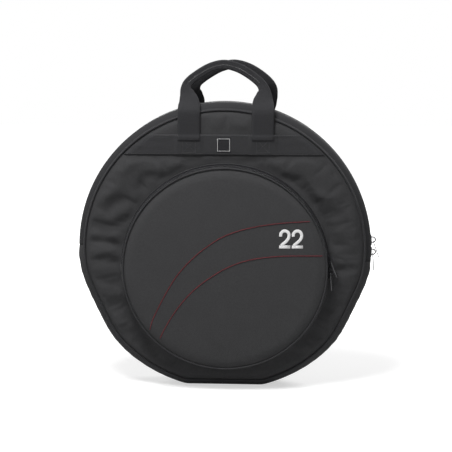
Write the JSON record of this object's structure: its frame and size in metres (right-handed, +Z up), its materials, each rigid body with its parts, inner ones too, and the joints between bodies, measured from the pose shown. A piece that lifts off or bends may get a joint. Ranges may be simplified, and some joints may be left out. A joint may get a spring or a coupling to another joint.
{
  "type": "cymbal bag",
  "caption": "Round padded cymbal bag with a two-way zip round the upper rim, a round zipped front pocket and a webbing handle on each face.",
  "frame": {"origin": "on the flat resting face, under the middle of the bag", "axes": "+Z up, +X to the right seen from the front, the front with its pocket faces -Y"},
  "size_m": [0.6204, 0.1204, 0.6735],
  "materials": {
    "nylon": "woven nylon",
    "padding": "closed-cell foam sheet",
    "lining": "smooth lining cloth",
    "webbing": "woven webbing",
    "piping": "bound piping",
    "red_piping": "bound piping",
    "zip_tape": "woven tape",
    "zip_teeth": "nylon teeth",
    "slider_metal": "dark plated",
    "pull_metal": "bright plated",
    "label": "plain woven patch"
  },
  "bodies": {
    "bag": {"back_band": "webbing", "back_panel_foam": "padding", "back_panel_lining": "lining", "back_panel_shell": "nylon", "back_piping": "piping", "base_gusset_foam": "padding", "base_gusset_lining": "lining", "base_gusset_shell": "nylon", "front_band": "webbing", "front_panel_foam": "padding", "front_panel_lining": "lining", "front_panel_shell": "nylon", "front_piping": "piping", "label_patch": "label", "main_zip_end_tab_left": "nylon", "main_zip_end_tab_right": "nylon", "main_zip_tape_back": "zip_tape", "main_zip_tape_front": "zip_tape", "main_zip_teeth_back": "zip_teeth", "main_zip_teeth_front": "zip_teeth", "pocket_face_foam": "padding", "pocket_face_lining": "lining", "pocket_face_shell": "nylon", "pocket_gusset_base": "nylon", "pocket_gusset_fore": "nylon", "pocket_gusset_rear": "nylon", "pocket_piping": "piping", "pocket_piping_lower_arc": "red_piping", "pocket_piping_upper_arc": "red_piping", "pocket_zip_end_tab_left": "nylon", "pocket_zip_end_tab_right": "nylon", "pocket_zip_tape_back": "zip_tape", "pocket_zip_tape_front": "zip_tape", "pocket_zip_teeth_back": "zip_teeth", "pocket_zip_teeth_front": "zip_teeth", "zip_gusset_back": "nylon", "zip_gusset_front": "nylon"},
    "front_handle": {"front_handle": "webbing"},
    "back_handle": {"back_handle": "webbing"},
    "main_zip_slider_a": {"main_zip_slider_a": "slider_metal", "main_zip_slider_a_under": "slider_metal"},
    "main_zip_pull_a": {"main_zip_pull_a": "pull_metal"},
    "main_zip_slider_b": {"main_zip_slider_b": "slider_metal", "main_zip_slider_b_under": "slider_metal"},
    "main_zip_pull_b": {"main_zip_pull_b": "pull_metal"},
    "pocket_zip_slider_a": {"pocket_zip_slider_a": "slider_metal", "pocket_zip_slider_a_under": "slider_metal"},
    "pocket_zip_pull_a": {"pocket_zip_pull_a": "pull_metal"},
    "pocket_zip_slider_b": {"pocket_zip_slider_b": "slider_metal", "pocket_zip_slider_b_under": "slider_metal"},
    "pocket_zip_pull_b": {"pocket_zip_pull_b": "pull_metal"}
  },
  "joints": [
    {"name": "front_handle_swing", "type": "hinge", "parent": "bag", "child": "front_handle", "pos_m": [0.0045, -0.0441, 0.527], "axis": [1, 0, 0], "range_deg": [0, 165]},
    {"name": "back_handle_swing", "type": "hinge", "parent": "bag", "child": "back_handle", "pos_m": [0.0045, 0.0441, 0.527], "axis": [1, 0, 0], "range_deg": [-165, 0]},
    {"name": "main_zip_slider_a_travel", "type": "hinge", "parent": "bag", "child": "main_zip_slider_a", "pos_m": [0, 0, 0.289], "axis": [0, -1, 0], "range_deg": [0, 172.3]},
    {"name": "main_zip_pull_a_swing", "type": "hinge", "parent": "main_zip_slider_a", "child": "main_zip_pull_a", "pos_m": [0.30443, 0, 0.3076], "axis": [0, -1, 0], "range_deg": [0, 150]},
    {"name": "main_zip_slider_b_travel", "type": "hinge", "parent": "bag", "child": "main_zip_slider_b", "pos_m": [0, 0, 0.289], "axis": [0, -1, 0], "range_deg": [-0.2, 0.3]},
    {"name": "main_zip_pull_b_swing", "type": "hinge", "parent": "main_zip_slider_b", "child": "main_zip_pull_b", "pos_m": [0.30492, 0, 0.28209], "axis": [0, -1, 0], "range_deg": [0, 32]},
    {"name": "pocket_zip_slider_a_travel", "type": "hinge", "parent": "bag", "child": "pocket_zip_slider_a", "pos_m": [0.003, 0, 0.255], "axis": [0, -1, 0], "range_deg": [0, 169.4]},
    {"name": "pocket_zip_pull_a_swing", "type": "hinge", "parent": "pocket_zip_slider_a", "child": "pocket_zip_pull_a", "pos_m": [0.21672, -0.0562, 0.27637], "axis": [-0.2876, -0.9573, -0.0288], "range_deg": [0, 150]},
    {"name": "pocket_zip_slider_b_travel", "type": "hinge", "parent": "bag", "child": "pocket_zip_slider_b", "pos_m": [0.003, 0, 0.255], "axis": [0, -1, 0], "range_deg": [0, 0.6]},
    {"name": "pocket_zip_pull_b_swing", "type": "hinge", "parent": "pocket_zip_slider_b", "child": "pocket_zip_pull_b", "pos_m": [0.21774, -0.0562, 0.25073], "axis": [-0.2889, -0.9573, 0.0057], "range_deg": [0, 32]}
  ]
}
